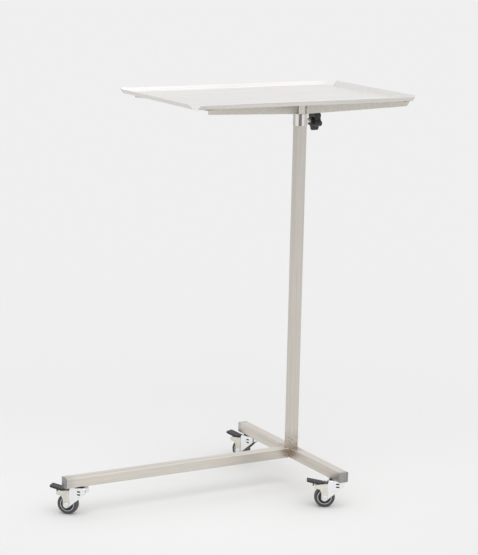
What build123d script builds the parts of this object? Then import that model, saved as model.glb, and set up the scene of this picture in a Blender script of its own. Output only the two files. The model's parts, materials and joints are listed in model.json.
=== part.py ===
from build123d import *
import os
from math import atan2, cos, degrees, hypot, radians, sin, sqrt

# Overbed table: a T-shaped base of square tube on three braked swivel casters, a telescopic
# square column locked by a star knob, and a shallow lift-off tray carried on four tapered ribs.
# Millimetres, +Z up. The leg points to -X and the crossbar lies along Y. The origin is on the
# floor, under the middle of the overall box.

# ---- driving dimensions -------------------------------------------------------------------
tube = 25.0  # side of the square base and column tube
tube_wall = 1.5
tube_radius = 2.5  # outside corner radius of the tube
caster_height = 70.0  # floor to the underside of the base tubes
leg_reach = 615.0  # column axis to the free end of the leg
crossbar_length = 492.0
end_plate = 2.0  # thickness of the plates welded over the open tube ends
column_top = 922.0
column_x = 211.1  # column axis, measured from the origin
column_y = -15.2

inner_tube = 20.0  # side of the telescopic tube
inner_radius = 2.0
inner_top = 962.0
inner_foot = 440.0  # lower end of the telescopic tube with the tray at its lowest
slide_gap = 0.05  # running clearance of the telescope, each side

collar_height = 28.0
collar_wall = 0.8
knob_height = 904.0  # height of the clamp screw's axis
knob_radius = 23.3
knob_thickness = 17.0
knob_back = 32.5  # column axis to the knob's inner face
screw_radius = 4.0
screw_hole = 4.4  # clearance hole through the column, collar and bush

tray_length = 606.0
tray_width = 400.0
tray_offset = -92.0  # tray centre, along X from the column axis
tray_floor = 966.5  # height of the tray's upper face
sheet = 1.0
lip_rise = 11.0  # the lips rise and spread by the same amount, at 45 degrees
end_lip_setback = 13.0  # how far the lips stop short of the floor's corners
long_lip_setback = 5.0

rib_left = (-350.0, 185.0)  # outer end of a left-hand rib, from the column axis
rib_right = (186.0, 185.0)
rib_web = 2.0
rib_foot = 923.0  # lowest point of a rib, beside the column
rib_end_depth = 10.0
rib_top = 964.0
rib_flange = 12.0
pad_radius = 5.0

wheel_radius = 25.0
tread_width = 17.0
rim_radius = 17.6
rim_half = 7.6  # half the rim's width
wheel_hub = 6.5
cover_radius = 15.4
cover_thickness = 1.6
caster_trail = 25.0  # swivel axis to wheel axle
caster_inset = 36.5  # swivel axis to the end of its tube
fork_inside = 11.5  # half the gap between the fork's legs
fork_wall = 2.0
fork_top = 68.2
fork_back = -24.0
bracket_wall = 1.8
axle_radius = 3.0
stem_radius = 5.0
stem_hole = 5.2
hinge_u, hinge_z = 27.0, 55.5  # pedal pin in a caster's side view: along the trail, and up
pin_radius = 1.5
underside_start = (30.0, 55.0)  # the pedal's underside is a straight slope between these points
underside_end = (63.0, 62.0)
pedal_half_width = 11.3
groove_start = (45.0, 63.65)  # centre of the first grip groove; each next one lies further along
groove_pitch, groove_rise, groove_radius = 4.5, 0.805, 0.6
shoe_half_width = 7.0
shoe_back, shoe_front, shoe_tip = 37.0, 41.0, 50.6  # brake shoe's faces along the trail, and its tip

casters = {  # tube end that each caster stands under, and the way its wheel trails
    "left": (column_x - leg_reach + caster_inset + 0.5, column_y, 135.0),
    "near": (column_x, column_y - crossbar_length / 2 + caster_inset, 150.0),
    "far": (column_x, column_y + crossbar_length / 2 - caster_inset, 112.0),
}
base_top = caster_height + tube
base_middle = caster_height + tube / 2
column_centre = (column_x, column_y)


def save(built, label):
    """Label a finished piece and write its STEP file."""
    built.part.label = label
    export_step(built.part, f"parts/{label}.step")


def underside(along_trail):
    """Height of the pedal's underside at a distance along the trail."""
    slope = (underside_end[1] - underside_start[1]) / (underside_end[0] - underside_start[0])
    return underside_start[1] + slope * (along_trail - underside_start[0])


def tube_section(side, wall, radius):
    """Hollow square section, drawn in the current sketch."""
    RectangleRounded(side, side, radius)
    RectangleRounded(side - 2 * wall, side - 2 * wall, max(radius - wall, 0.6), mode=Mode.SUBTRACT)


def upright(height, centre=column_centre):
    """Horizontal plane at the given height, centred over a point."""
    return Plane((*centre, height))


# ---- base ---------------------------------------------------------------------------------
with BuildPart() as crossbar:
    bar = crossbar_length - 2 * end_plate
    with BuildSketch(Plane((column_x, column_y - bar / 2, base_middle), (1, 0, 0), (0, 1, 0))):
        tube_section(tube, tube_wall, tube_radius)
    extrude(amount=bar)
    with BuildSketch(upright(caster_height)):
        with Locations((0, casters["near"][1] - column_y), (0, casters["far"][1] - column_y)):
            Circle(stem_hole)
    extrude(amount=tube_wall + 0.5, mode=Mode.SUBTRACT)
save(crossbar, "crossbar")

leg_root = column_x - tube / 2
leg_end = column_x - leg_reach
with BuildPart() as leg:
    with BuildSketch(Plane((leg_end + end_plate, column_y, base_middle), (0, 1, 0), (1, 0, 0))):
        tube_section(tube, tube_wall, tube_radius)
    extrude(amount=leg_root - leg_end - end_plate)
    with BuildSketch(upright(caster_height, casters["left"][:2])):
        Circle(stem_hole)
    extrude(amount=tube_wall + 0.5, mode=Mode.SUBTRACT)
save(leg, "leg")

end_planes = [
    Plane((leg_end, column_y, base_middle), (0, 1, 0), (1, 0, 0)),
    Plane((column_x, column_y - crossbar_length / 2, base_middle), (1, 0, 0), (0, 1, 0)),
    Plane((column_x, column_y + crossbar_length / 2, base_middle), (1, 0, 0), (0, -1, 0)),
]
with BuildPart() as end_plates:
    with BuildSketch(*end_planes):
        RectangleRounded(tube, tube, tube_radius)
    extrude(amount=end_plate)
save(end_plates, "end_plates")

# ---- column and clamp ---------------------------------------------------------------------
screw_plane = Plane((column_x, column_y, knob_height), (0, 1, 0), (1, 0, 0))

with BuildPart() as column:
    with BuildSketch(upright(base_top)):
        tube_section(tube, tube_wall, tube_radius)
    extrude(amount=column_top - base_top)
    with BuildSketch(screw_plane):
        Circle(screw_hole)
    extrude(amount=tube, mode=Mode.SUBTRACT)
save(column, "column")

collar_side = tube + 2 * collar_wall
with BuildPart() as column_collar:
    with BuildSketch(upright(column_top - collar_height)):
        RectangleRounded(collar_side, collar_side, tube_radius + collar_wall)
        RectangleRounded(tube + 0.08, tube + 0.08, tube_radius, mode=Mode.SUBTRACT)
    extrude(amount=collar_height)
    with BuildSketch(screw_plane):
        Circle(screw_hole)
    extrude(amount=tube, mode=Mode.SUBTRACT)
    fillet(column_collar.edges().group_by(Axis.Z)[-1].sort_by(SortBy.LENGTH)[-4:], 0.3)
save(column_collar, "column_collar")

boss_length = 7.0
boss_radius = 7.5
with BuildPart() as clamp_boss:
    with BuildSketch(screw_plane.offset(collar_side / 2)):
        Circle(boss_radius)
        Circle(screw_radius + slide_gap, mode=Mode.SUBTRACT)
    extrude(amount=boss_length)
    boss_rims = clamp_boss.edges().filter_by(GeomType.CIRCLE).group_by(Axis.X)[-1]
    fillet(boss_rims.sort_by(SortBy.RADIUS)[-1], 1)
save(clamp_boss, "clamp_boss")

bush_length = 40.0
bush_side = tube - 2 * tube_wall - 0.06
with BuildPart() as guide_bush:
    with BuildSketch(upright(column_top - bush_length)):
        RectangleRounded(bush_side, bush_side, 1.0)
        RectangleRounded(
            inner_tube + 2 * slide_gap, inner_tube + 2 * slide_gap, inner_radius, mode=Mode.SUBTRACT
        )
    extrude(amount=bush_length)
    with BuildSketch(screw_plane):
        Circle(screw_hole)
    extrude(amount=tube, mode=Mode.SUBTRACT)
save(guide_bush, "guide_bush")

# Fillet welds: a triangular run along each inside corner where two base tubes or the column meet.
bead = 2.6
bead_gap = 0.02
bead_run = 20.0
half = tube / 2
with BuildPart() as weld_beads:
    for side in (-1, 1):
        foot = Plane(
            (column_x - bead_run / 2, column_y + side * (half + bead_gap), base_top), (0, side, 0), (1, 0, 0)
        )
        with BuildSketch(foot):
            Polygon((0, 0), (bead, 0), (0, side * bead), align=None)
        extrude(amount=bead_run)
        corner = Plane(
            (leg_root - bead_gap, column_y + side * (half + bead_gap), caster_height + 2),
            (-1, 0, 0), (0, 0, 1),
        )
        with BuildSketch(corner):
            Polygon((0, 0), (bead, 0), (0, -side * bead), align=None)
        extrude(amount=tube - 4)
    toe = Plane((leg_root - bead_gap, column_y - bead_run / 2, base_top), (-1, 0, 0), (0, 1, 0))
    with BuildSketch(toe):
        Polygon((0, 0), (bead, 0), (0, bead), align=None)
    extrude(amount=bead_run)
save(weld_beads, "weld_beads")

pad_thickness = 2.4
with BuildPart() as clamp_pad:
    with BuildSketch(screw_plane.offset(inner_tube / 2 + slide_gap)):
        Circle(screw_radius - 0.15)
    extrude(amount=pad_thickness)
    chamfer(clamp_pad.edges().group_by(Axis.X)[-1], 0.4)
save(clamp_pad, "clamp_pad")

screw_start = inner_tube / 2 + slide_gap + pad_thickness + 0.05
screw_depth = 8.0  # how far the screw is moulded into the knob
with BuildPart() as clamp_screw:
    with BuildSketch(screw_plane.offset(screw_start)):
        Circle(screw_radius)
    extrude(amount=knob_back + screw_depth - screw_start)
    chamfer(clamp_screw.edges().group_by(Axis.X)[0], 0.6)
save(clamp_screw, "clamp_screw")

lobes = 5
lobe_radius = 7.0
valley_radius = 16.5
hub_radius = 9.0
hub_length = 5.0
dish_radius = 10.0
dish_depth = 1.2
with BuildPart() as star_knob:
    with BuildSketch(screw_plane.offset(knob_back)) as star:
        Circle(valley_radius)
        with PolarLocations(knob_radius - lobe_radius, lobes, start_angle=270):
            Circle(lobe_radius)
        fillet(star.vertices(), 3.0)
    extrude(amount=knob_thickness)
    fillet(star_knob.edges().group_by(Axis.X)[-1], 2.2)
    fillet(star_knob.edges().group_by(Axis.X)[0], 1.4)
    with BuildSketch(screw_plane.offset(knob_back + 1)):
        Circle(hub_radius)
    extrude(amount=-hub_length - 1)
    with BuildSketch(screw_plane.offset(knob_back + knob_thickness)):
        Circle(dish_radius)
    extrude(amount=-dish_depth, mode=Mode.SUBTRACT)
    with BuildSketch(screw_plane.offset(knob_back - hub_length)):
        Circle(screw_radius + 0.01)
    extrude(amount=hub_length + screw_depth, mode=Mode.SUBTRACT)
save(star_knob, "star_knob")

# ---- telescopic tube and tray ribs --------------------------------------------------------
with BuildPart() as inner_column:
    with BuildSketch(upright(inner_foot)):
        tube_section(inner_tube, tube_wall, inner_radius)
    extrude(amount=inner_top - inner_foot)
save(inner_column, "inner_column")

foot_plug = tube - 2 * tube_wall - 2 * slide_gap
foot_length = 14.0
spigot_side = inner_tube - 2 * tube_wall - 0.1
spigot_length = 16.0
with BuildPart() as foot_guide:
    with BuildSketch(upright(inner_foot)):
        RectangleRounded(foot_plug, foot_plug, 1.0)
    extrude(amount=-foot_length)
    with BuildSketch(upright(inner_foot)):
        RectangleRounded(spigot_side, spigot_side, 0.6)
    extrude(amount=spigot_length)
save(foot_guide, "foot_guide")


def rib_directions():
    """Name, length, angle and flange side of each tray rib."""
    for end_name, (reach, spread), flange_side in (("left", rib_left, 1), ("right", rib_right, -1)):
        for row, way in (("near", -1), ("far", 1)):
            angle = atan2(way * spread, reach)
            yield f"{row}_{end_name}_rib", hypot(reach, spread), angle, -way * flange_side


web_start = 6.0
flange_start = 30.0
flange_thickness = 1.5
pad_inset = 14.0
pad_places = []
for name, length, angle, flange_side in rib_directions():
    along = (cos(angle), sin(angle), 0)
    across = (sin(angle), -cos(angle), 0)
    with BuildPart() as rib:
        with BuildSketch(Plane((*column_centre, 0), along, across)) as web:
            with BuildLine():
                Polyline(
                    (web_start, rib_foot), (web_start, rib_top), (length, rib_top),
                    (length, rib_top - rib_end_depth),
                    (inner_tube, rib_foot), close=True,
                )
            make_face()
            fillet(web.vertices().group_by(Axis((0, 0, 0), along))[-1].sort_by(Axis.Z)[0], rib_end_depth - 1)
        extrude(amount=rib_web / 2, both=True)
        with BuildSketch(Plane((*column_centre, rib_top), along, (0, 0, 1))):
            with Locations(((length + flange_start) / 2, -flange_side * (rib_flange - rib_web) / 2)):
                Rectangle(length - flange_start, rib_flange)
        extrude(amount=-flange_thickness)
        with BuildSketch(upright(rib_foot - 5)):
            RectangleRounded(inner_tube + 0.04, inner_tube + 0.04, inner_radius)
        extrude(amount=60, mode=Mode.SUBTRACT)
    save(rib, name)
    pad_along, pad_across = length - pad_inset, flange_side * (rib_flange - rib_web) / 2
    pad_places.append(
        (along[0] * pad_along + across[0] * pad_across, along[1] * pad_along + across[1] * pad_across)
    )

with BuildPart() as tray_pads:
    with BuildSketch(upright(rib_top)):
        with Locations(*pad_places):
            Circle(pad_radius)
    extrude(amount=tray_floor - sheet - rib_top)
save(tray_pads, "tray_pads")

# ---- tray ---------------------------------------------------------------------------------
lip_spread = lip_rise + sheet / sqrt(2)
floor_x = tray_length / 2 - lip_spread
floor_y = tray_width / 2 - lip_spread
tray_centre = (column_x + tray_offset, column_y)
bend = sheet * (sqrt(2) - 1)
floor_corner = 3.0


def lip_profile():
    """Section of a lip from the floor's edge outward, drawn with the floor's top at zero."""
    Polygon(
        (-2, -sheet), (-2, 0), (0, 0), (lip_rise, lip_rise),
        (lip_rise + sheet / sqrt(2), lip_rise - sheet / sqrt(2)), (bend, -sheet), align=None,
    )


with BuildPart() as tray:
    with BuildSketch(upright(tray_floor, tray_centre)):
        RectangleRounded(2 * floor_x, 2 * floor_y, floor_corner)
    extrude(amount=-sheet)
    end_lip = floor_y - end_lip_setback
    long_lip = floor_x - long_lip_setback
    for out, run, reach, half_run in (
        ((1, 0, 0), (0, -1, 0), floor_x, end_lip), ((-1, 0, 0), (0, 1, 0), floor_x, end_lip),
        ((0, 1, 0), (1, 0, 0), floor_y, long_lip), ((0, -1, 0), (-1, 0, 0), floor_y, long_lip),
    ):
        edge = (tray_centre[0] + out[0] * reach, tray_centre[1] + out[1] * reach, tray_floor)
        with BuildSketch(Plane(edge, out, run)):
            lip_profile()
        extrude(amount=half_run, both=True)
save(tray, "tray")

# ---- casters ------------------------------------------------------------------------------
flange_radius = 10.0
flange_low, flange_high = 58.0, 61.3
ball_radius = 1.55
ball_ring = 8.2
washer_radius = 14.0
washer_bottom = 68.6
nut_half = 8.5
nut_height = 8.0
stem_length = 27.0

with BuildPart() as caster_stems:
    for x, y, _ in casters.values():
        with BuildSketch(upright(flange_low, (x, y))):
            Circle(flange_radius)
        extrude(amount=flange_high - flange_low)
        with BuildSketch(upright(flange_high, (x, y))):
            Circle(stem_radius)
        extrude(amount=stem_length)
save(caster_stems, "caster_stems")

with BuildPart() as stem_nuts:
    for x, y, _ in casters.values():
        with BuildSketch(upright(caster_height + tube_wall, (x, y))):
            RegularPolygon(nut_half, 6, major_radius=False)
            Circle(stem_radius + 0.03, mode=Mode.SUBTRACT)
        extrude(amount=nut_height)
save(stem_nuts, "stem_nuts")

with BuildPart() as dust_washers:
    for x, y, _ in casters.values():
        with BuildSketch(upright(washer_bottom, (x, y))):
            Circle(washer_radius)
            Circle(stem_radius + 0.03, mode=Mode.SUBTRACT)
        extrude(amount=caster_height - washer_bottom)
save(dust_washers, "dust_washers")

axle_point = (caster_trail, wheel_radius)
eye_radius = 8.0  # rounding of the fork legs and the bracket arms about the axle
axle_head = 6.8
axle_head_height = 2.8
axle_nut_half = 5.0
axle_nut_height = 3.6
head_front, head_low = 15.0, 57.0  # front and lower edge of the fork's head in side view
head_sheet = 3.7  # depth of the fork's crown above the bearing
slot_places = ((-5.5, 59.5), (-5.5, 52.3))
slot_length, slot_height = 8.0, 3.4
cheek = 0.4  # thickness of the lock spring's cheeks, just inside the fork
bracket_half = fork_inside + fork_wall + bracket_wall

for name, (x, y, angle) in casters.items():
    along = (cos(radians(angle)), sin(radians(angle)), 0)
    across = (along[1], -along[0], 0)
    side = Plane((x, y, 0), along, across)  # side view: along the trail, and up

    def level(height):
        """Horizontal plane through the caster, its X along the trail."""
        return Plane((x, y, height), along, (0, 0, 1))

    with BuildPart() as fork:
        with BuildSketch(side):
            with Locations(axle_point):
                Circle(eye_radius)
            with Locations(((fork_back + head_front) / 2, (head_low + fork_top) / 2)):
                Rectangle(head_front - fork_back, fork_top - head_low)
            make_hull()
        extrude(amount=fork_inside + fork_wall, both=True)
        back_edges = fork.edges().filter_by(Axis.Z).group_by(Axis((x, y, 0), along))[0]
        fillet(back_edges, 9)
        fillet(fork.faces().sort_by(Axis.Z)[-1].edges(), 1.4)
        with BuildSketch(level(fork_top - head_sheet)) as pocket:
            with Locations(((fork_back + fork_wall + 60) / 2, 0)):
                Rectangle(60 - fork_back - fork_wall, 2 * fork_inside)
            fillet(pocket.vertices().group_by(Axis((x, y, 0), along))[0], 7)
        extrude(amount=-70, mode=Mode.SUBTRACT)
        with BuildSketch(level(fork_top)):
            Circle(stem_radius + slide_gap)
        extrude(amount=-10, mode=Mode.SUBTRACT)
        with BuildSketch(side):
            with Locations(*slot_places):
                Rectangle(slot_length, slot_height)
            with Locations(axle_point):
                Circle(axle_radius + 0.02)
        extrude(amount=30, both=True, mode=Mode.SUBTRACT)
    save(fork, f"{name}_fork")

    with BuildPart() as lock_tabs:
        for way in (1, -1):
            with BuildSketch(side.offset(way * (fork_inside - slide_gap))):
                with Locations((-5.5, 56)):
                    Rectangle(11, 14)
            extrude(amount=-way * cheek)
            with BuildSketch(side.offset(way * (fork_inside - slide_gap))):
                with Locations(*slot_places):
                    Rectangle(slot_length - 0.2, slot_height - 0.2)
            extrude(amount=way * (fork_wall - 0.3))
    save(lock_tabs, f"{name}_lock_tabs")

    with BuildPart() as bearing_balls:
        with Locations(level((flange_high + fork_top - head_sheet) / 2)):
            with PolarLocations(ball_ring, 12):
                Sphere(ball_radius)
    save(bearing_balls, f"{name}_bearing_balls")

    with BuildPart() as brake_bracket:
        with BuildSketch(side) as arms:
            with Locations(axle_point):
                Circle(eye_radius)
            Polygon(
                (caster_trail - eye_radius, wheel_radius), (19.5, 60), (50, 57), (50, 49), (37, 46),
                (caster_trail + eye_radius, 38), (caster_trail + eye_radius, wheel_radius), align=None,
            )
            fillet(arms.vertices().filter_by(lambda v: v.Z > 40), 2.0)
        extrude(amount=bracket_half, both=True)
        with BuildSketch(side):
            with Locations((25, 30)):
                Rectangle(80, 80)
        extrude(amount=fork_inside + fork_wall, both=True, mode=Mode.SUBTRACT)
        with BuildSketch(side):
            with Locations((44.7, 49.5)):
                Rectangle(3.6, 2)
        extrude(amount=bracket_half, both=True)
        with BuildSketch(side):
            with Locations(axle_point):
                Circle(axle_radius + 0.02)
            with Locations((hinge_u, hinge_z)):
                Circle(pin_radius + 0.02)
        extrude(amount=30, both=True, mode=Mode.SUBTRACT)
    save(brake_bracket, f"{name}_brake_bracket")

    with BuildPart() as axle:
        with BuildSketch(side):
            with Locations(axle_point):
                Circle(axle_radius)
        extrude(amount=bracket_half + axle_nut_height + 0.9)
        with BuildSketch(side):
            with Locations(axle_point):
                Circle(axle_radius)
        extrude(amount=-bracket_half)
        with BuildSketch(side.offset(-bracket_half)):
            with Locations(axle_point):
                Circle(axle_head)
        extrude(amount=-axle_head_height)
        fillet(axle.faces().sort_by(Axis((x, y, 0), across))[0].edges(), 1.6)
    save(axle, f"{name}_axle")

    with BuildPart() as axle_nut:
        with BuildSketch(side.offset(bracket_half)):
            with Locations(axle_point):
                RegularPolygon(axle_nut_half, 6, major_radius=False)
                Circle(axle_radius + 0.02, mode=Mode.SUBTRACT)
        extrude(amount=axle_nut_height)
    save(axle_nut, f"{name}_axle_nut")

    with BuildPart() as pedal_pin:
        with BuildSketch(side):
            with Locations((hinge_u, hinge_z)):
                Circle(pin_radius)
        extrude(amount=bracket_half + 0.6, both=True)
    save(pedal_pin, f"{name}_pedal_pin")

    with BuildPart() as tyre:
        with BuildSketch(side):
            with Locations(axle_point):
                Circle(wheel_radius)
                Circle(rim_radius, mode=Mode.SUBTRACT)
        extrude(amount=tread_width / 2, both=True)
        rounds = tyre.edges().filter_by(GeomType.CIRCLE)
        fillet(rounds.filter_by(lambda e: e.radius > rim_radius + 1), 3.4)
    save(tyre, f"{name}_tyre")

    with BuildPart() as rim:
        for radius, half_width in ((rim_radius, rim_half), (wheel_hub, fork_inside - 0.4)):
            with BuildSketch(side):
                with Locations(axle_point):
                    Circle(radius)
            extrude(amount=half_width, both=True)
        with BuildSketch(side):
            with Locations(axle_point):
                Circle(axle_radius + slide_gap)
        extrude(amount=30, both=True, mode=Mode.SUBTRACT)
    save(rim, f"{name}_rim")

    with BuildPart() as hub_covers:
        for face in (1, -1):
            with BuildSketch(side.offset(face * rim_half)):
                with Locations(axle_point):
                    Circle(cover_radius)
                    Circle(wheel_hub + 0.1, mode=Mode.SUBTRACT)
            extrude(amount=face * cover_thickness)
    save(hub_covers, f"{name}_hub_covers")

    with BuildPart() as pedal:
        with BuildSketch(side) as tread:
            with Locations((hinge_u, hinge_z)):
                Circle(3.4)
            Polygon(
                (hinge_u, hinge_z + 3.2), (underside_start[0], 60.8), (hinge_u + 41, 67.6),
                (hinge_u + 41.5, 63.6), underside_end, underside_start, align=None,
            )
        extrude(amount=pedal_half_width, both=True)
        tip = pedal.faces().sort_by(Axis((x, y, 0), along))[-1]
        fillet(tip.edges().filter_by(lambda e: abs(e.tangent_at(0.5).Z) > 0.5), 3)
        with BuildSketch(side):
            with Locations((hinge_u + 25.5, 55.5)):
                Rectangle(3, 9)
        extrude(amount=2, both=True)
        with BuildSketch(side):
            for groove in range(5):
                along_tread = groove_start[0] + groove_pitch * groove
                with Locations((along_tread, groove_start[1] + groove_rise * groove)):
                    Circle(groove_radius)
        extrude(amount=pedal_half_width - 2, both=True, mode=Mode.SUBTRACT)
        with BuildSketch(side):
            with Locations((hinge_u, hinge_z)):
                Circle(pin_radius + slide_gap)
        extrude(amount=30, both=True, mode=Mode.SUBTRACT)
    save(pedal, f"{name}_pedal")

    with BuildPart() as brake_shoe:
        with BuildSketch(side):
            Polygon(
                (shoe_back, shoe_tip), (shoe_back, underside(shoe_back)),
                (shoe_front, underside(shoe_front)), (shoe_front, shoe_tip), align=None,
            )
        extrude(amount=shoe_half_width, both=True)
    save(brake_shoe, f"{name}_brake_shoe")
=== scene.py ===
import json
import math

import bmesh
import bpy
from mathutils import Matrix, Vector


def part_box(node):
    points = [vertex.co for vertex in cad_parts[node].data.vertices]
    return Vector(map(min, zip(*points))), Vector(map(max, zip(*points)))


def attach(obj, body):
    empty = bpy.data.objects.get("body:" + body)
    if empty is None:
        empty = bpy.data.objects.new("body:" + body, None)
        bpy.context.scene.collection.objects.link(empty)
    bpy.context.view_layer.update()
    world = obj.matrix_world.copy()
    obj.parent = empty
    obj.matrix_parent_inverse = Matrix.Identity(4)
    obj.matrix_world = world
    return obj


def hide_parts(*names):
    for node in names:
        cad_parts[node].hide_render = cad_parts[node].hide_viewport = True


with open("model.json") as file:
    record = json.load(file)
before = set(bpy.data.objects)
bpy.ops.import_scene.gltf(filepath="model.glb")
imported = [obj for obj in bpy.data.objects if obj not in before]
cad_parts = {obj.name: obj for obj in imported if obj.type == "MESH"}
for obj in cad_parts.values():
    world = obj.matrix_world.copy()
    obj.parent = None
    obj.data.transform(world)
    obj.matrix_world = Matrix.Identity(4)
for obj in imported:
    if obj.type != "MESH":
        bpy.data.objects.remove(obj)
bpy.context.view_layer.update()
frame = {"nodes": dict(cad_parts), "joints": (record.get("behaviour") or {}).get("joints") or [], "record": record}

# Overbed table in satin stainless steel: the looks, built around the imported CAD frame.
# Metres, +Z up; the leg points to -X and the crossbar lies along Y.

MM = 0.001
scene = bpy.context.scene
nodes = frame["nodes"]
node_body = {n: body for body, members in frame["record"]["behaviour"]["bodies"].items() for n in members}
joint_of = {j["name"]: j for j in frame["joints"]}
CASTERS = ("left", "near", "far")
RIBS = ("near_left_rib", "far_left_rib", "near_right_rib", "far_right_rib")


def middle(node):
    """Centre of a node's box."""
    low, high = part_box(node)
    return (low + high) / 2


column_low, column_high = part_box("column")
axis_x, axis_y = middle("column")[:2]
base_top = column_low.z
half_tube = (column_high.x - column_low.x) / 2


# ---- camera and light ---------------------------------------------------------------------
def make_camera():
    """Long lens, a little above the tray, seen from the side that the leg points to."""
    yaw, pitch, roll = math.radians(29.376), math.radians(11.505), math.radians(1.243)
    data = bpy.data.cameras.new("camera")
    data.lens = 127.67
    data.sensor_width = 36.0
    camera = bpy.data.objects.new("camera", data)
    scene.collection.objects.link(camera)
    turn = Matrix.Rotation(-yaw, 3, "Z") @ Matrix.Rotation(math.pi / 2 - pitch, 3, "X")
    camera.matrix_world = (turn @ Matrix.Rotation(roll, 3, "Z")).to_4x4()
    camera.location = Vector((axis_x - 2.4262, axis_y - 4.0282, 1.475))
    scene.camera = camera


def make_world():
    """Pale studio, brightest at the front right and overhead; the camera sees one even pale wall."""
    bright_side, dim_side, wall = 1.10, 0.80, 0.86
    world = bpy.data.worlds.new("studio")
    scene.world = world
    world.use_nodes = True
    tree = world.node_tree
    tree.nodes.clear()
    make, link = tree.nodes.new, tree.links.new
    coords = make("ShaderNodeTexCoord")
    bright = make("ShaderNodeVectorMath")
    bright.operation = "DOT_PRODUCT"
    link(coords.outputs["Generated"], bright.inputs[0])
    bright.inputs[1].default_value = (0.50, -0.70, 0.50)
    span = make("ShaderNodeMapRange")
    span.interpolation_type = "SMOOTHSTEP"
    span.inputs["From Min"].default_value = -0.9
    span.inputs["From Max"].default_value = 0.9
    span.inputs["To Min"].default_value = dim_side
    span.inputs["To Max"].default_value = bright_side
    link(bright.outputs["Value"], span.inputs["Value"])
    path = make("ShaderNodeLightPath")
    seen = make("ShaderNodeMix")
    seen.data_type = "FLOAT"
    link(path.outputs["Is Camera Ray"], seen.inputs["Factor"])
    link(span.outputs["Result"], seen.inputs[2])
    seen.inputs[3].default_value = wall
    background = make("ShaderNodeBackground")
    background.inputs["Color"].default_value = (1.0, 1.0, 1.0, 1.0)
    link(seen.outputs[0], background.inputs["Strength"])
    output = make("ShaderNodeOutputWorld")
    link(background.outputs[0], output.inputs["Surface"])


def make_sun():
    """One broad soft key from the front, high up."""
    data = bpy.data.lights.new("key", "SUN")
    data.energy = 0.60
    data.angle = math.radians(48)
    sun = bpy.data.objects.new("key", data)
    scene.collection.objects.link(sun)
    travel = Vector((0.10, 0.42, -1.0))
    sun.rotation_euler = travel.to_track_quat("-Z", "Y").to_euler()


# ---- material tools -----------------------------------------------------------------------
class Shader:
    """A material under construction: short calls that each add one node."""

    def __init__(self, name):
        self.material = bpy.data.materials.new(name)
        self.material.use_nodes = True
        self.tree = self.material.node_tree
        self.surface = self.tree.nodes["Principled BSDF"]
        self.coords = self.tree.nodes.new("ShaderNodeTexCoord").outputs["Object"]

    def node(self, kind, **settings):
        """A new node with some of its properties set."""
        made = self.tree.nodes.new(kind)
        for key, value in settings.items():
            setattr(made, key, value)
        return made

    def feed(self, socket, value):
        """Link a socket to another one's value, or set it to a number or colour."""
        if isinstance(value, bpy.types.NodeSocket):
            self.tree.links.new(value, socket)
        else:
            socket.default_value = value

    def noise(self, scale, detail=4.0, roughness=0.55, offset=(0, 0, 0)):
        """Noise stretched by a scale for each axis, in cycles per metre."""
        mapping = self.node("ShaderNodeMapping")
        self.feed(mapping.inputs["Vector"], self.coords)
        mapping.inputs["Scale"].default_value = scale
        mapping.inputs["Location"].default_value = offset
        made = self.node("ShaderNodeTexNoise")
        self.feed(made.inputs["Vector"], mapping.outputs[0])
        made.inputs["Scale"].default_value = 1.0
        made.inputs["Detail"].default_value = detail
        made.inputs["Roughness"].default_value = roughness
        return made.outputs["Fac"]

    def ramp(self, value, low, high, to_low=0.0, to_high=1.0, smooth=False):
        """A value moved from one range to another and held inside it."""
        made = self.node("ShaderNodeMapRange")
        if smooth:
            made.interpolation_type = "SMOOTHSTEP"
        self.feed(made.inputs["Value"], value)
        for key, number in (("From Min", low), ("From Max", high), ("To Min", to_low), ("To Max", to_high)):
            made.inputs[key].default_value = number
        return made.outputs["Result"]

    def math(self, operation, first, second=0.0):
        made = self.node("ShaderNodeMath", operation=operation)
        self.feed(made.inputs[0], first)
        self.feed(made.inputs[1], second)
        return made.outputs[0]

    def mix(self, factor, first, second, blend="MIX"):
        made = self.node("ShaderNodeMix", data_type="RGBA", blend_type=blend)
        self.feed(made.inputs["Factor"], factor)
        self.feed(made.inputs[6], first)
        self.feed(made.inputs[7], second)
        return made.outputs[2]

    def distance(self, point):
        """Metres from a point."""
        made = self.node("ShaderNodeVectorMath", operation="DISTANCE")
        self.feed(made.inputs[0], self.coords)
        made.inputs[1].default_value = point
        return made.outputs["Value"]

    def coordinate(self, axis):
        """Metres along one axis."""
        made = self.node("ShaderNodeSeparateXYZ")
        self.feed(made.inputs[0], self.coords)
        return made.outputs[axis]

    def facing_up(self):
        """The surface normal's height: 1 facing up, -1 facing down."""
        made = self.node("ShaderNodeSeparateXYZ")
        self.feed(made.inputs[0], self.node("ShaderNodeNewGeometry").outputs["True Normal"])
        return made.outputs["Z"]

    def bump(self, height, strength, depth):
        made = self.node("ShaderNodeBump")
        self.feed(made.inputs["Height"], height)
        made.inputs["Strength"].default_value = strength
        made.inputs["Distance"].default_value = depth
        return made.outputs[0]

    def finish(self, **inputs):
        """Feed the surface's sockets, named with underscores for spaces."""
        for key, value in inputs.items():
            self.feed(self.surface.inputs[key.replace("_", " ")], value)
        return self.material


def rgb(red, green, blue):
    """An opaque colour."""
    return (red, green, blue, 1.0)


FINE, COARSE = 900.0, 9.0  # grain frequency across and along the brushing, per metre


def grain_scale(axis, fine=FINE, coarse=COARSE):
    """Noise scale of a grain that runs along one axis."""
    return tuple(coarse if letter == axis else fine for letter in "XYZ")


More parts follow.
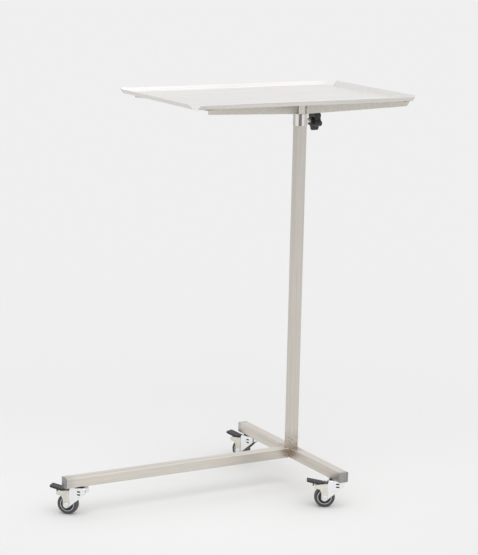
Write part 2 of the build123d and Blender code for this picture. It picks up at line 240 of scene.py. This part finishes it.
def brushed_steel(name, tone, grain, warm=0.5, rough=(0.27, 0.42), heat=(), ends=(), depth=0.00010,
                  hue=(1.0, 0.95, 0.875), painted_underside_shade=1.0):
    """Satin stainless, brushed along one axis and clouded.

    heat lists (point, radius) marks with scorched specks, and ends lists (axis, start, stop) stretches
    that grow darker. The underside value, when below 1, is painted shade: it darkens the colour of faces that look
    down.
    """
    s = Shader(name)
    brush = s.noise(grain_scale(grain), detail=5, roughness=0.65)
    streak = s.noise(grain_scale(grain, 240, 2.5), detail=3, offset=(3.1, 1.7, 0.4))
    cloud = s.noise((26, 26, 26), detail=3, offset=(0.7, 2.3, 5.1))
    dark = rgb(*(tone * 0.88 * channel for channel in hue))
    light = rgb(*(min(tone * 1.12, 0.97) * channel for channel in hue))
    shade = s.math("ADD", s.math("MULTIPLY", brush, 0.55), s.math("MULTIPLY", streak, 0.45))
    colour = s.mix(s.ramp(shade, 0.34, 0.66), dark, light)
    tint = s.mix(s.ramp(cloud, 0.38, 0.62, smooth=True), rgb(0.97, 0.99, 0.97), rgb(1.0, 0.955, 0.925))
    colour = s.mix(warm, colour, tint, "MULTIPLY")
    roughness = s.ramp(shade, 0.32, 0.68, rough[1], rough[0])
    for point, radius in heat:
        near = s.ramp(s.distance(point), radius * 0.35, radius, 1.0, 0.0, smooth=True)
        patch = s.math("MULTIPLY", near, s.ramp(cloud, 0.30, 0.62, 0.35, 1.0))
        colour = s.mix(s.math("MULTIPLY", patch, 0.85), colour, rgb(tone * 0.68, tone * 0.55, tone * 0.44))
        speck = s.noise((230, 230, 230), detail=3, offset=(6, 1, 2))
        scorch = s.math("MULTIPLY", near, s.ramp(speck, 0.56, 0.66))
        colour = s.mix(s.math("MULTIPLY", scorch, 0.8), colour, rgb(tone * 0.22, tone * 0.18, tone * 0.15))
    # Painted shade: faces that look down get a darker colour.
    if painted_underside_shade < 1.0:
        painted_shade_below = s.ramp(s.facing_up(), -0.5, -0.2, 1.0, 0.0)
        colour = s.mix(painted_shade_below, colour, rgb(painted_underside_shade, painted_underside_shade * 0.98, painted_underside_shade * 0.96), "MULTIPLY")
    for axis, start, stop in ends:
        band = s.ramp(s.coordinate(axis), start, stop, 0.0, 1.0, smooth=True)
        colour = s.mix(s.math("MULTIPLY", band, 0.45), colour, rgb(tone * 0.62, tone * 0.60, tone * 0.58))
    return s.finish(
        Base_Color=colour, Metallic=1.0, Roughness=roughness, Normal=s.bump(brush, 0.35, depth)
    )


def plated_metal(name, tone, rough=(0.12, 0.26), spots=0.25):
    """Bright zinc or chrome: faint crystalline mottling, small dull spots."""
    s = Shader(name)
    mottle = s.noise((700, 700, 700), detail=3)
    dull = s.noise((160, 160, 160), detail=2, offset=(4, 1, 7))
    mask = s.ramp(dull, 0.52, 0.68, 0.0, spots, smooth=True)
    colour = s.mix(mask, rgb(*tone), rgb(*(channel * 0.72 for channel in tone)))
    roughness = s.math("ADD", s.ramp(mottle, 0.3, 0.7, *rough), s.math("MULTIPLY", mask, 0.3))
    return s.finish(
        Base_Color=colour, Metallic=1.0, Roughness=roughness, Normal=s.bump(mottle, 0.12, 0.00005)
    )


def polished_sleeve(name, painted_reflections):
    """Polished collar with painted reflections, dark streaks set where the sleeve would mirror dark surroundings:
    (axis, offset from its middle, half width, darkness).
    """
    s = Shader(name)
    fine = s.noise((1400, 1400, 20), detail=3, offset=(2, 6, 1))
    colour = s.mix(s.ramp(fine, 0.3, 0.7), rgb(0.74, 0.72, 0.68), rgb(0.92, 0.90, 0.86))
    # Painted reflections: each streak darkens the colour in a band across one axis.
    for axis, offset, half_width, darkness in painted_reflections:
        middle_line = {"X": axis_x, "Y": axis_y}[axis] + offset
        place = s.math("SUBTRACT", s.coordinate(axis), middle_line)
        near = s.ramp(s.math("ABSOLUTE", place), half_width * 0.55, half_width, darkness, 0.0, smooth=True)
        colour = s.mix(near, colour, rgb(0.13, 0.11, 0.095))
    return s.finish(
        Base_Color=colour, Metallic=1.0, Roughness=s.ramp(fine, 0.3, 0.7, 0.12, 0.24),
        Normal=s.bump(fine, 0.15, 0.00004),
    )


def moulded(name, tone, rough=(0.38, 0.55), grain=1600.0, dust=0.06, lift=1.6):
    """Moulded plastic: fine spark texture, slight colour drift and settled dust."""
    s = Shader(name)
    spark = s.noise((grain, grain, grain), detail=2)
    drift = s.noise((55, 55, 55), detail=3, offset=(2, 8, 5))
    colour = s.mix(s.ramp(drift, 0.35, 0.65), rgb(*tone), rgb(*(channel * lift for channel in tone)))
    flecks = s.noise((220, 220, 220), detail=4, offset=(9, 2, 1))
    settled = s.math("MULTIPLY", s.ramp(flecks, 0.5, 0.75), dust)
    colour = s.mix(settled, colour, rgb(0.45, 0.44, 0.42))
    return s.finish(
        Base_Color=colour, Roughness=s.ramp(spark, 0.3, 0.7, *rough),
        Normal=s.bump(spark, 0.25, 0.00008),
    )


def tyre_rubber(name, wheel_centre):
    """Grey rubber: scuffed, dusty tread and smoother side walls."""
    s = Shader(name)
    scuff = s.noise((420, 420, 420), detail=6, roughness=0.7)
    worn = s.ramp(s.distance(wheel_centre), 0.0232, 0.0262, 0.0, 1.0, smooth=True)
    mark = s.math("MULTIPLY", worn, s.ramp(scuff, 0.35, 0.62, 0.15, 0.75))
    colour = s.mix(s.ramp(scuff, 0.3, 0.7), rgb(0.040, 0.041, 0.044), rgb(0.072, 0.073, 0.077))
    colour = s.mix(mark, colour, rgb(0.15, 0.148, 0.145))
    return s.finish(
        Base_Color=colour, Roughness=s.ramp(scuff, 0.3, 0.7, 0.48, 0.72),
        Normal=s.bump(scuff, 0.3, 0.00012),
    )


def passivated(name):
    """Pale yellow passivated zinc on the brake brackets, with faint iridescent drift."""
    s = Shader(name)
    drift = s.noise((70, 70, 70), detail=3)
    fine = s.noise((900, 900, 900), detail=3, offset=(1, 2, 3))
    colour = s.mix(s.ramp(drift, 0.36, 0.64, smooth=True), rgb(0.70, 0.67, 0.59), rgb(0.77, 0.75, 0.69))
    colour = s.mix(s.ramp(fine, 0.60, 0.80, 0.0, 0.5), colour, rgb(0.55, 0.50, 0.40))
    return s.finish(
        Base_Color=colour, Metallic=0.75, Roughness=s.ramp(fine, 0.3, 0.7, 0.34, 0.5),
        Normal=s.bump(fine, 0.15, 0.00005),
    )


def weld_metal(name):
    """Brushed-over weld: brown to straw tint with dark pores."""
    s = Shader(name)
    cloud = s.noise((130, 130, 130), detail=4)
    pores = s.noise((900, 900, 900), detail=2, offset=(5, 5, 2))
    colour = s.mix(s.ramp(cloud, 0.35, 0.65), rgb(0.34, 0.28, 0.22), rgb(0.60, 0.55, 0.48))
    colour = s.mix(s.ramp(pores, 0.62, 0.74), colour, rgb(0.09, 0.075, 0.06))
    return s.finish(
        Base_Color=colour, Metallic=1.0, Roughness=s.ramp(cloud, 0.3, 0.7, 0.32, 0.5),
        Normal=s.bump(pores, 0.3, 0.0001),
    )


def ground_plate(name, grain):
    """End plates ground across with a coarse belt, darker than the tubes."""
    s = Shader(name)
    score = s.noise(grain_scale(grain, 620, 14), detail=5, roughness=0.75)
    colour = s.mix(s.ramp(score, 0.36, 0.64), rgb(0.20, 0.20, 0.195), rgb(0.47, 0.46, 0.45))
    return s.finish(
        Base_Color=colour, Metallic=1.0, Roughness=s.ramp(score, 0.3, 0.7, 0.5, 0.34),
        Normal=s.bump(score, 0.6, 0.0002),
    )


# ---- mesh tools ---------------------------------------------------------------------------
PIECE_CREASE, NODE_CREASE = 38, 30  # degrees past which an edge is shaded sharp


def add_piece(name, mesh, material, body, replaced=()):
    """Show a finished mesh as a piece that rides on a body."""
    mesh.materials.clear()
    mesh.materials.append(material)
    mesh.shade_smooth()
    mesh.set_sharp_from_angle(angle=math.radians(PIECE_CREASE))
    piece = bpy.data.objects.new(name, mesh)
    scene.collection.objects.link(piece)
    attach(piece, body)
    if replaced:
        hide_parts(*replaced)


def to_mesh(bm, name):
    """Close a bmesh into a mesh, its faces turned outward."""
    bmesh.ops.recalc_face_normals(bm, faces=bm.faces)
    mesh = bpy.data.meshes.new(name)
    bm.to_mesh(mesh)
    bm.free()
    return mesh


def softened(node, width, material):
    """A CAD piece with its sharp edges broken, standing for its node."""
    weld_distance = 2e-6
    flat_angle, sharp_angle = math.radians(0.6), math.radians(32)
    bm = bmesh.new()
    bm.from_mesh(nodes[node].data)
    bmesh.ops.remove_doubles(bm, verts=bm.verts, dist=weld_distance)
    bmesh.ops.dissolve_limit(
        bm, angle_limit=flat_angle, verts=bm.verts, edges=bm.edges, delimit={"NORMAL"}
    )
    sharp = [e for e in bm.edges if e.is_manifold and e.calc_face_angle() > sharp_angle]
    bmesh.ops.bevel(
        bm, geom=sharp, offset=width, segments=2, profile=0.6, affect="EDGES", clamp_overlap=True
    )
    bmesh.ops.triangulate(bm, faces=[f for f in bm.faces if len(f.verts) > 4])
    piece = f"{node}_shell"
    add_piece(piece, to_mesh(bm, piece), material, node_body[node], (node,))


def lathe(bm, profile, place, steps=96):
    """Closed ring turned about the local Y axis from (along the axis, radius) points."""
    rings = []
    for step in range(steps):
        angle = 2 * math.pi * step / steps
        ring = []
        for axial, radius in profile:
            spot = Vector((math.cos(angle) * radius, axial, math.sin(angle) * radius))
            ring.append(bm.verts.new(place @ spot))
        rings.append(ring)
    count = len(profile)
    for step in range(steps):
        here, there = rings[step], rings[(step + 1) % steps]
        for k in range(count):
            bm.faces.new((here[k], here[(k + 1) % count], there[(k + 1) % count], there[k]))


def arc(centre, radius, start, stop, steps):
    """Points of an arc, angles in degrees."""
    for k in range(steps + 1):
        angle = math.radians(start + (stop - start) * k / steps)
        yield (centre[0] + radius * math.cos(angle), centre[1] + radius * math.sin(angle))


def mirrored(flank):
    """Closed outline from one flank of (distance from the middle, radius) points."""
    return [(-axial, radius) for axial, radius in flank] + list(reversed(flank))


def skin(bm, previous, ring):
    """Join two rings of the same number of vertices with quads, or cap the first one."""
    if previous is None:
        bm.faces.new(ring)
        return
    for here in range(len(ring)):
        after = (here + 1) % len(ring)
        bm.faces.new((previous[here], previous[after], ring[after], ring[here]))


# ---- floor --------------------------------------------------------------------------------
def make_floor():
    """Wide pale paper that runs past every view's edge, with painted light under the table: its colour is lighter
    there to cancel the table's shadow.
    """
    size = 120.0
    bm = bmesh.new()
    bmesh.ops.create_grid(bm, x_segments=1, y_segments=1, size=size)
    mesh = to_mesh(bm, "floor")
    if mesh.polygons[0].normal.z < 0:
        mesh.flip_normals()
    s = Shader("floor_paper")
    # Painted light: the paper's colour is lighter under the table, where the table's shadow falls.
    painted_light_under_table, far_off = 0.797, 0.728
    albedo_with_painted_light = s.ramp(s.distance((0.0, 0.05, 0.0)), 0.15, 1.1, painted_light_under_table, far_off, smooth=True)
    s.surface.inputs["Specular IOR Level"].default_value = 0.0
    mesh.materials.append(s.finish(Base_Color=albedo_with_painted_light, Roughness=0.9))
    floor = bpy.data.objects.new("floor", mesh)
    scene.collection.objects.link(floor)


# ---- tray ---------------------------------------------------------------------------------
def make_tray(material):
    """One thin sheet: flat floor, four lips bent up on a small radius, open corners."""
    low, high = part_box("tray")
    sheet = 1.0 * MM
    rise = high.z - low.z - sheet
    spread = rise + sheet / math.sqrt(2)
    radius = 2.2 * MM  # of the bend
    setback = (5.0 * MM, 13.0 * MM)  # how far the long lips, then the end lips, stop short of a corner
    centre = (low + high) / 2
    turn = math.radians(45)
    tangent = radius * math.tan(turn / 2)
    flat = {0: (high.x - low.x) / 2 - spread, 1: (high.y - low.y) / 2 - spread}

    def lines(axis):
        """Grid lines across one axis: the lips, the bends and the floor between."""
        half = flat[axis] - tangent
        inner = [(flat[axis] - setback[axis]) * k / 12 for k in range(13)]
        bend = [half + radius * turn * k / 5 for k in range(6)]
        lip_length = rise * math.sqrt(2) - tangent
        lip = [bend[-1] + lip_length * k / 3 for k in (1, 2, 3)]
        positive = sorted(set(round(v, 7) for v in inner + bend + lip))
        return sorted({-v for v in positive} | set(positive))

    def fold(along, edge):
        """Where a point of the flat pattern lies after bending: out, up."""
        beyond = abs(along) - (edge - tangent)
        if beyond <= 0:
            return along, 0.0
        sign = math.copysign(1, along)
        swept = min(beyond / radius, turn)
        straight = max(beyond - radius * turn, 0.0)
        out = edge - tangent + radius * math.sin(swept) + straight * math.cos(turn)
        return sign * out, radius * (1 - math.cos(swept)) + straight * math.sin(turn)

    bm = bmesh.new()
    made = {}

    def point(u, v):
        """The vertex of a flat-pattern point, made once."""
        if (u, v) not in made:
            x, up_x = fold(u, flat[0])
            y, up_y = fold(v, flat[1])
            height = low.z + sheet + max(up_x, up_y)
            made[u, v] = bm.verts.new((centre.x + x, centre.y + y, height))
        return made[u, v]

    us, vs = lines(0), lines(1)
    for u0, u1 in zip(us, us[1:]):
        for v0, v1 in zip(vs, vs[1:]):
            mid_u, mid_v = abs(u0 + u1) / 2, abs(v0 + v1) / 2
            on_floor = mid_u < flat[0] - tangent and mid_v < flat[1] - tangent
            on_x_lip = mid_u >= flat[0] - tangent and mid_v < flat[1] - setback[1]
            on_y_lip = mid_v >= flat[1] - tangent and mid_u < flat[0] - setback[0]
            if on_floor or on_x_lip or on_y_lip:
                bm.faces.new((point(u0, v0), point(u1, v0), point(u1, v1), point(u0, v1)))
    corners = [v for v in bm.verts if v.is_boundary and len(v.link_faces) == 1]
    bmesh.ops.bevel(bm, geom=corners, offset=2.0 * MM, segments=4, affect="VERTICES", profile=0.5)
    mesh = to_mesh(bm, "tray_sheet")
    if mesh.polygons[0].normal.z < 0:
        mesh.flip_normals()
    draft = bpy.data.objects.new("tray_draft", mesh)
    scene.collection.objects.link(draft)
    thick = draft.modifiers.new("thick", "SOLIDIFY")
    thick.thickness = sheet
    thick.offset = -1
    thick.use_even_offset = True
    rounded = draft.modifiers.new("rounded", "BEVEL")
    rounded.width = 0.3 * MM
    rounded.segments = 2
    rounded.limit_method = "ANGLE"
    rounded.angle_limit = math.radians(50)
    solid = draft.evaluated_get(bpy.context.evaluated_depsgraph_get())
    baked = bpy.data.meshes.new_from_object(solid)
    bpy.data.objects.remove(draft)
    baked.name = "tray_sheet"
    add_piece("tray_sheet", baked, material, "tray", ("tray",))


# ---- welds --------------------------------------------------------------------------------
def bead(bm, start, stop, side_a, side_b, size):
    """Rippled fillet weld in the corner between two directions, from start to stop."""
    pitch = 1.1 * MM
    rings_per_ripple = 6
    section = 8
    run = stop - start
    rings = max(int(run.length / pitch * rings_per_ripple), 8)
    previous = None
    for k in range(rings + 1):
        t = k / rings
        taper = min(1.0, math.sin(math.pi * t) * 6 + 0.15)
        ripple = 1 - 0.16 * abs(math.cos(math.pi * k / rings_per_ripple))
        root = start + run * t
        ring = [bm.verts.new(root)]
        for j in range(section + 1):
            angle = math.pi / 2 * j / section
            bulge = size * taper * ripple * (0.78 + 0.12 * math.sin(2 * angle))
            outward = side_a * math.cos(angle) + side_b * math.sin(angle)
            ring.append(bm.verts.new(root + outward * bulge))
        skin(bm, previous, ring)
        previous = ring
    bm.faces.new(list(reversed(previous)))


def make_welds(material):
    """Beads round the column's foot and in the corners of the leg joint."""
    bm = bmesh.new()
    low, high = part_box("weld_beads")
    x_axis, y_axis, z_axis = Vector((1, 0, 0)), Vector((0, 1, 0)), Vector((0, 0, 1))
    left = axis_x - half_tube
    size = 2.9 * MM
    for side in (-1, 1):
        wall = axis_y + side * half_tube
        foot = Vector((axis_x - half_tube * 0.8, wall, base_top))
        bead(bm, foot, foot + x_axis * half_tube * 1.6, y_axis * side, z_axis, size)
        corner = Vector((left, wall, low.z))
        bead(bm, corner, corner + z_axis * (base_top - 2 * MM - low.z), -x_axis, y_axis * side, size)
    toe = Vector((left, axis_y - half_tube * 0.8, base_top))
    bead(bm, toe, toe + y_axis * half_tube * 1.6, -x_axis, z_axis, size)
    add_piece("weld_runs", to_mesh(bm, "weld_runs"), material, "frame", ("weld_beads",))


def make_rib_welds(material):
    """Short vertical beads where each rib meets the telescopic tube."""
    bm = bmesh.new()
    tube_low, tube_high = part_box("inner_column")
    half_inner = (tube_high.x - tube_low.x) / 2
    up = Vector((0, 0, 1))
    for rib in RIBS:
        low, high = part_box(rib)
        far_x = low.x if middle(rib).x < axis_x else high.x
        far_y = low.y if middle(rib).y < axis_y else high.y
        far_end = Vector((far_x, far_y, 0))
        along = (far_end - Vector((axis_x, axis_y, 0))).normalized()
        reach = half_inner / max(abs(along.x), abs(along.y))
        foot = Vector((axis_x, axis_y, low.z + 2 * MM)) + along * (reach + 0.4 * MM)
        across = Vector((along.y, -along.x, 0))
        for side in (-1, 1):
            start = foot + across * side * 1.0 * MM
            bead(bm, start, start + up * (tube_high.z - low.z - 6 * MM), along, across * side, 2.2 * MM)
    add_piece("rib_weld_runs", to_mesh(bm, "rib_weld_runs"), material, "upper_column")


# ---- clamp --------------------------------------------------------------------------------
def make_thread(material):
    """The clamp screw with its cut thread, M8 coarse."""
    low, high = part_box("clamp_screw")
    outer = (high.z - low.z) / 2
    pitch, cut = 1.25 * MM, 0.62 * MM
    steps_round, steps_pitch = 40, 10
    rings = int((high.x - low.x) / pitch * steps_pitch)
    centre = middle("clamp_screw")
    bm = bmesh.new()
    previous = None
    for k in range(rings + 1):
        x = low.x + (high.x - low.x) * k / rings
        lead = min(1.0, (x - low.x) / (1.2 * MM))
        ring = []
        for j in range(steps_round):
            angle = 2 * math.pi * j / steps_round
            phase = ((x - low.x) / pitch - j / steps_round) % 1.0
            ridge = max(0.0, 1 - abs(phase - 0.5) * 2.5)
            radius = outer - cut + cut * ridge * lead
            y = centre.y + radius * math.cos(angle)
            z = centre.z + radius * math.sin(angle)
            ring.append(bm.verts.new((x, y, z)))
        skin(bm, previous, ring)
        previous = ring
    bm.faces.new(list(reversed(previous)))
    mesh = to_mesh(bm, "clamp_screw_thread")
    add_piece("clamp_screw_thread", mesh, material, "knob", ("clamp_screw",))


# ---- casters ------------------------------------------------------------------------------
TYRE_SEAT = 17.6 * MM  # where the tyre sits on the rim


def caster_place(name):
    """Matrix at a wheel's centre: X along the trail, Y along the axle, Z up."""
    hub = Vector(joint_of[f"{name}_wheel_spin"]["pos_m"])
    swivel = Vector(joint_of[f"{name}_swivel_turn"]["pos_m"])
    along = Vector((hub.x - swivel.x, hub.y - swivel.y, 0)).normalized()
    up = Vector((0, 0, 1))
    lateral = up.cross(along)
    place = Matrix((along, lateral, up)).transposed().to_4x4()
    place.translation = hub
    return place


def make_tyre(name, place, material):
    """Tyre with a crowned tread and a fine moulding line round its middle."""
    radius = middle(f"{name}_tyre").z
    half_width = 8.5 * MM
    shoulder, crown = 3.4 * MM, 0.2 * MM
    corner = (half_width - shoulder, radius - shoulder - crown)
    flank = [
        (half_width, TYRE_SEAT), *arc(corner, shoulder, 0, 84, 7),
        (0.30 * MM, radius - 0.02 * MM), (0.12 * MM, radius),
    ]
    bm = bmesh.new()
    lathe(bm, mirrored(flank), place, steps=128)
    mesh = to_mesh(bm, "tyre")
    add_piece(f"{name}_tyre_ring", mesh, material, f"{name}_wheel", (f"{name}_tyre",))


def make_rim(name, place, material):
    """Rim from the bore out: hub with a chamfered end, thin web and a rounded outer lip."""
    hub = [(11.1 * MM, 3.05 * MM), (11.1 * MM, 5.9 * MM), (10.7 * MM, 6.4 * MM)]
    web = [(7.6 * MM, 6.5 * MM), (7.6 * MM, 15.5 * MM)]
    lip = [(8.6 * MM, 15.7 * MM), (8.8 * MM, 16.2 * MM), (8.6 * MM, 17.0 * MM), (7.8 * MM, 17.55 * MM)]
    bm = bmesh.new()
    lathe(bm, mirrored(hub + web + lip), place)
    mesh = to_mesh(bm, "rim")
    add_piece(f"{name}_rim_ring", mesh, material, f"{name}_wheel", (f"{name}_rim",))


def make_covers(name, place, material):
    """Hub covers on both sides: a raised inner lip, a dished middle and a raised outer lip."""
    back = 7.65 * MM
    inner_lip = [(back, 6.7 * MM), (8.9 * MM, 6.7 * MM), (9.2 * MM, 7.2 * MM), (9.1 * MM, 8.4 * MM)]
    dish = [(8.3 * MM, 9.2 * MM), (8.3 * MM, 12.8 * MM)]
    outer_lip = [(9.0 * MM, 13.6 * MM), (9.0 * MM, 14.8 * MM), (8.6 * MM, 15.35 * MM), (back, 15.35 * MM)]
    bm = bmesh.new()
    for side in (-1, 1):
        outline = [(side * axial, radius) for axial, radius in inner_lip + dish + outer_lip]
        lathe(bm, outline, place)
    mesh = to_mesh(bm, "covers")
    covers = f"{name}_hub_covers"
    add_piece(f"{name}_hub_dishes", mesh, material, f"{name}_wheel", (covers,))


def make_casters(materials):
    """The three casters: turned wheels, softened plates and dressed small parts."""
    for name in CASTERS:
        place = caster_place(name)
        hub = place.translation
        make_tyre(name, place, tyre_rubber(f"{name}_tyre_rubber", hub))
        make_rim(name, place, materials["rim"])
        make_covers(name, place, materials["black"])
        softened(f"{name}_fork", 0.45 * MM, materials["fork"])
        softened(f"{name}_brake_bracket", 0.3 * MM, materials["bracket"])
        softened(f"{name}_pedal", 0.45 * MM, materials["pedal"])
        softened(f"{name}_axle_nut", 0.35 * MM, materials["zinc"])
        # The lock tabs take the near-black colour that stands for the shade inside the fork behind its slots.
        for kind, material in (("axle", "zinc"), ("pedal_pin", "zinc"), ("bearing_balls", "ball"),
                               ("brake_shoe", "zinc"), ("lock_tabs", "painted_slot_shade")):
            dress(f"{name}_{kind}", materials[material])


def dress(node, material):
    """Give a CAD node that keeps its own shape its material."""
    mesh = nodes[node].data
    mesh.materials.clear()
    mesh.materials.append(material)
    mesh.shade_smooth()
    mesh.set_sharp_from_angle(angle=math.radians(NODE_CREASE))


# ---- build --------------------------------------------------------------------------------
make_camera()
make_world()
make_sun()
make_floor()

scene.view_settings.view_transform = "Standard"

# where the three tubes meet, and the height over which the column grows darker towards the top
foot_spot = Vector((axis_x, axis_y - half_tube * 0.4, base_top - half_tube))
column_fade = ("Z", 0.25, 1.35)
leg_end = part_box("leg")[0].x
bar_low, bar_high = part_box("crossbar")
# Painted reflections on the polished collar and clamp boss: dark streaks put into the colour.
collar_painted_reflections = (
    ("X", -7.3 * MM, 5.6 * MM, 0.85),
    ("X", 6.0 * MM, 1.8 * MM, 0.5),
    ("X", 11.0 * MM, 3.0 * MM, 0.3),
    ("Y", 7.0 * MM, 9.5 * MM, 0.45),
)
materials = {
    "leg": brushed_steel("leg_steel", 0.69, "X", heat=[(foot_spot, 0.052)],
                         ends=[("X", leg_end + 30 * MM, leg_end + 4 * MM)]),
    "crossbar": brushed_steel("crossbar_steel", 0.68, "Y", heat=[(foot_spot, 0.056)],
                              ends=[("Y", bar_low.y + 18 * MM, bar_low.y + 2 * MM),
                                    ("Y", bar_high.y - 18 * MM, bar_high.y - 2 * MM)]),
    "column": brushed_steel("column_steel", 0.64, "Z", heat=[(foot_spot, 0.062)],
                            ends=[column_fade]),
    "inner": brushed_steel("inner_steel", 0.66, "Z", warm=0.3, rough=(0.2, 0.34)),
    "rib": brushed_steel("rib_steel_brushed", 0.62, "X", warm=0.7, rough=(0.3, 0.45)),
    # The tray's faces that look down, the lips' outer faces among them, get a darker colour: painted shade.
    "tray": brushed_steel("tray_sheet_steel", 0.84, "X", warm=0.3, rough=(0.26, 0.36), depth=0.00006,
                          hue=(1.0, 0.99, 0.975), painted_underside_shade=0.86),
    "collar": polished_sleeve("collar_polish_painted_reflections", collar_painted_reflections),
    "plate": ground_plate("end_plate_ground", "Z"),
    "weld": weld_metal("weld_brushed"),
    "zinc": plated_metal("fastener_zinc", (0.80, 0.81, 0.82)),
    "fork": plated_metal("fork_zinc_bright", (0.90, 0.91, 0.92), rough=(0.16, 0.30)),
    "ball": plated_metal("ball_chrome", (0.85, 0.85, 0.86), rough=(0.05, 0.1), spots=0.05),
    "brass": plated_metal("pad_brass_turned", (0.72, 0.55, 0.26), rough=(0.2, 0.35)),
    "bracket": passivated("bracket_passivated"),
    "pedal": moulded("pedal_black", (0.018, 0.018, 0.019)),
    "black": moulded("cover_black", (0.016, 0.016, 0.017)),
    "knob": moulded("knob_black", (0.016, 0.016, 0.018), rough=(0.3, 0.48), dust=0.03),
    "liner": moulded("liner_dark", (0.03, 0.03, 0.031)),
    "rim": moulded("rim_grey", (0.50, 0.52, 0.54), rough=(0.35, 0.5), lift=1.15),
    # Lock tabs in the fork's slots, near black: painted shade for the dark inside of the fork behind the slots.
    "painted_slot_shade": moulded("lock_tab_painted_shade_black", (0.006, 0.006, 0.007), rough=(0.5, 0.65), dust=0.0, lift=1.3),
    "pad": moulded("pad_rubber_black", (0.02, 0.02, 0.02), rough=(0.6, 0.8)),
}

for node, material in (
    ("leg", "leg"), ("crossbar", "crossbar"), ("column", "column"), ("inner_column", "inner"),
    ("column_collar", "collar"), ("guide_bush", "liner"), ("foot_guide", "liner"),
    ("caster_stems", "zinc"), ("dust_washers", "black"), ("tray_pads", "pad"), ("clamp_pad", "brass"),
    ("star_knob", "knob"),
):
    dress(node, materials[material])
for node, width, material in (
    ("end_plates", 0.5 * MM, "plate"), ("clamp_boss", 0.3 * MM, "collar"), ("stem_nuts", 0.4 * MM, "zinc"),
):
    softened(node, width, materials[material])
for rib in RIBS:
    softened(rib, 0.35 * MM, materials["rib"])

make_tray(materials["tray"])
make_welds(materials["weld"])
make_rib_welds(materials["weld"])
make_thread(materials["zinc"])
make_casters(materials)
